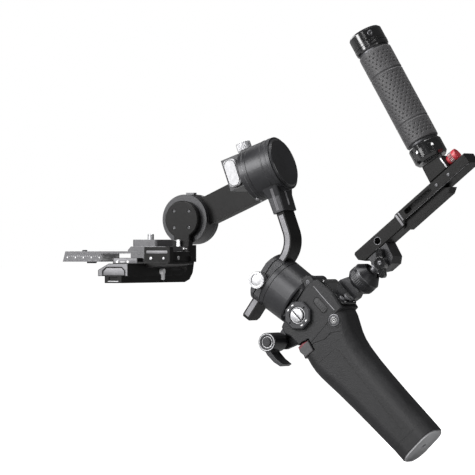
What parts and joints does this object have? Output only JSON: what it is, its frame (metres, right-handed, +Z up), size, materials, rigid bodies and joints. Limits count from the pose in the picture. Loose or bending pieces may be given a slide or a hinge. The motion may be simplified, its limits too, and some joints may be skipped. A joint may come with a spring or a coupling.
{
  "type": "camera gimbal",
  "caption": "Handheld three-axis camera stabiliser with folding grip, motorised arms, sliding camera plate and a rear sling handle on a ball joint.",
  "frame": {"origin": "seat of the camera screw on top of the quick-release riser plate", "axes": "+X forward along the lens direction, +Y to the camera's left, +Z up"},
  "size_m": [0.4378, 0.182, 0.4312],
  "materials": {
    "grip_black": "fine matte texture",
    "housing_black": "satin black anodised",
    "arm_black": "satin black",
    "gloss_black": "polished",
    "plate_grey": "bead-blasted dark anodised",
    "rail_grey": "machined grey",
    "steel": "brushed bright",
    "rubber_black": "soft matte",
    "sleeve": "perforated",
    "button_grey": "smooth matte",
    "trigger_red": "smooth matte",
    "cell_wrap": "shrink wrap",
    "board_green": "solder mask",
    "winding": "enamelled copper over laminations",
    "red_band": "satin anodised"
  },
  "bodies": {
    "grip": {"grip_shell_left": "grip_black", "grip_shell_right": "grip_black", "grip_end_cap": "grip_black", "base_insert": "rail_grey", "battery_cells": "cell_wrap", "main_board": "board_green", "display_panel": "gloss_black", "fold_pin": "steel", "port_plate": "housing_black", "port_screw": "steel", "lock_link": "housing_black", "sling_bracket": "housing_black", "ball_socket": "housing_black"},
    "lock_lever_body": {"lock_lever": "housing_black"},
    "joystick_body": {"joystick": "button_grey"},
    "mode_body": {"mode_button": "button_grey"},
    "record_body": {"record_button": "button_grey"},
    "trigger_body": {"trigger": "trigger_red"},
    "power_body": {"power_button": "button_grey"},
    "port_cover_body": {"port_cover": "rubber_black"},
    "pan_base": {"pan_housing": "housing_black", "pan_core": "winding", "pan_bearings": "steel"},
    "pan_lock_body": {"pan_lock": "button_grey"},
    "pan_turn": {"pan_rotor": "housing_black"},
    "pan_knob_body": {"pan_knob": "steel"},
    "pan_reach": {"pan_arm": "arm_black", "roll_housing": "housing_black", "roll_cover": "housing_black", "roll_core": "winding", "roll_bearings": "steel"},
    "roll_turn": {"roll_rotor": "housing_black"},
    "roll_knob_body": {"roll_knob": "steel"},
    "roll_lock_body": {"roll_lock": "button_grey"},
    "roll_reach": {"roll_arm": "arm_black", "roll_arm_cap": "rail_grey", "tilt_housing": "housing_black", "tilt_cover": "housing_black", "tilt_core": "winding", "tilt_bearings": "steel"},
    "tilt_lock_body": {"tilt_lock": "button_grey"},
    "tilt_turn": {"tilt_rotor": "housing_black", "tilt_arm": "arm_black"},
    "camera_mount": {"camera_arm": "arm_black"},
    "height_lever_body": {"height_lever": "steel"},
    "carriage_body": {"carriage": "arm_black"},
    "carriage_lever_body": {"carriage_lever": "steel"},
    "plate_body": {"long_plate": "plate_grey", "riser_plate": "plate_grey"},
    "camera_screw_body": {"camera_screw": "steel"},
    "sling_ball": {"ball_stud": "steel"},
    "sling": {"sling_clamp": "housing_black", "sling_arm": "arm_black", "handle_post": "arm_black", "handle_core": "steel", "handle_sleeve": "sleeve", "handle_cap": "gloss_black"},
    "wing_body": {"wing_knob": "gloss_black"},
    "post_knob_body": {"post_knob": "red_band"},
    "collar_body": {"handle_collar": "gloss_black"}
  },
  "joints": [
    {"name": "grip_fold", "type": "hinge", "parent": "grip", "child": "pan_base", "pos_m": [-0.18471, 0, -0.04207], "axis": [0, -1, 0], "range_deg": [0, 45]},
    {"name": "pan_spin", "type": "hinge", "parent": "pan_base", "child": "pan_turn", "pos_m": [-0.144, 0, -0.0435], "axis": [0.8191, 0, 0.5736], "continuous": true},
    {"name": "pan_arm_slide", "type": "slide", "parent": "pan_turn", "child": "pan_reach", "axis": [-0.5736, 0, 0.8191], "range_m": [0, 0.015]},
    {"name": "roll_spin", "type": "hinge", "parent": "pan_reach", "child": "roll_turn", "pos_m": [0.004, 0, 0.0205], "axis": [0.9397, 0, -0.342], "range_deg": [-220, 60]},
    {"name": "roll_arm_slide", "type": "slide", "parent": "roll_turn", "child": "roll_reach", "axis": [0, 1, 0], "range_m": [-0.015, 0.03]},
    {"name": "tilt_spin", "type": "hinge", "parent": "roll_reach", "child": "tilt_turn", "pos_m": [0.004, 0, 0.0205], "axis": [0, 1, 0], "range_deg": [-130, 190]},
    {"name": "height_slide", "type": "slide", "parent": "tilt_turn", "child": "camera_mount", "axis": [0, 0, 1], "range_m": [-0.012, 0]},
    {"name": "carriage_slide", "type": "slide", "parent": "camera_mount", "child": "carriage_body", "axis": [0, 1, 0], "range_m": [-0.03, 0.004]},
    {"name": "plate_slide", "type": "slide", "parent": "carriage_body", "child": "plate_body", "axis": [1, 0, 0], "range_m": [-0.025, 0.005]},
    {"name": "camera_screw_turn", "type": "hinge", "parent": "plate_body", "child": "camera_screw_body", "pos_m": [0, 0, 0], "axis": [0, 0, 1], "range_deg": [0, 360]},
    {"name": "height_lever_turn", "type": "hinge", "parent": "camera_mount", "child": "height_lever_body", "pos_m": [0.0018, -0.064, -0.011], "axis": [0, 1, 0], "range_deg": [0, 90]},
    {"name": "carriage_lever_turn", "type": "hinge", "parent": "carriage_body", "child": "carriage_lever_body", "pos_m": [-0.012, 0.001, -0.0322], "axis": [1, 0, 0], "range_deg": [0, 95]},
    {"name": "pan_knob_turn", "type": "hinge", "parent": "pan_turn", "child": "pan_knob_body", "pos_m": [-0.13461, 0.025, -0.04034], "axis": [0, 1, 0], "range_deg": [0, 270]},
    {"name": "roll_knob_turn", "type": "hinge", "parent": "roll_turn", "child": "roll_knob_body", "pos_m": [-0.0938, -0.027, 0.08802], "axis": [0.342, 0, 0.9397], "range_deg": [0, 270]},
    {"name": "pan_lock_slide", "type": "slide", "parent": "pan_base", "child": "pan_lock_body", "axis": [0.8191, 0, 0.5736], "range_m": [0, 0.003]},
    {"name": "roll_lock_slide", "type": "slide", "parent": "roll_turn", "child": "roll_lock_body", "axis": [0.9397, 0, -0.342], "range_m": [-0.003, 0]},
    {"name": "tilt_lock_slide", "type": "slide", "parent": "roll_reach", "child": "tilt_lock_body", "axis": [0, 1, 0], "range_m": [0, 0.003]},
    {"name": "lock_lever_turn", "type": "hinge", "parent": "grip", "child": "lock_lever_body", "pos_m": [-0.14234, 0.009, -0.102], "axis": [0, -1, 0], "range_deg": [0, 90]},
    {"name": "joystick_tilt", "type": "hinge", "parent": "grip", "child": "joystick_body", "pos_m": [-0.21588, 0, -0.06162], "axis": [0, 1, 0], "range_deg": [-8, 8]},
    {"name": "mode_press", "type": "slide", "parent": "grip", "child": "mode_body", "axis": [0.7145, 0, -0.6997], "range_m": [0, 0.001]},
    {"name": "record_press", "type": "slide", "parent": "grip", "child": "record_body", "axis": [0.7145, 0, -0.6997], "range_m": [0, 0.001]},
    {"name": "trigger_pull", "type": "slide", "parent": "grip", "child": "trigger_body", "axis": [-0.7145, 0, 0.6997], "range_m": [0, 0.0015]},
    {"name": "power_press", "type": "slide", "parent": "grip", "child": "power_body", "axis": [0, -1, 0], "range_m": [0, 0.0007]},
    {"name": "port_cover_pull", "type": "slide", "parent": "grip", "child": "port_cover_body", "axis": [0, 1, 0], "range_m": [0, 0.004]},
    {"name": "sling_tilt", "type": "hinge", "parent": "grip", "child": "sling_ball", "pos_m": [-0.2285, -0.028, -0.0365], "axis": [0, 1, 0], "range_deg": [-15, 15]},
    {"name": "sling_swivel", "type": "hinge", "parent": "sling_ball", "child": "sling", "pos_m": [-0.2285, -0.028, -0.0365], "axis": [-0.7804, 0, 0.6253], "range_deg": [-20, 20]},
    {"name": "wing_knob_turn", "type": "hinge", "parent": "sling", "child": "wing_body", "pos_m": [-0.25204, -0.014, -0.02333], "axis": [0, 1, 0], "range_deg": [0, 270]},
    {"name": "post_knob_turn", "type": "hinge", "parent": "sling", "child": "post_knob_body", "pos_m": [-0.32341, -0.028, 0.08063], "axis": [-0.7804, 0, 0.6253], "range_deg": [0, 270]},
    {"name": "collar_twist", "type": "hinge", "parent": "sling", "child": "collar_body", "pos_m": [-0.29591, -0.028, 0.08624], "axis": [0.5101, 0, 0.8601], "range_deg": [0, 30]}
  ]
}
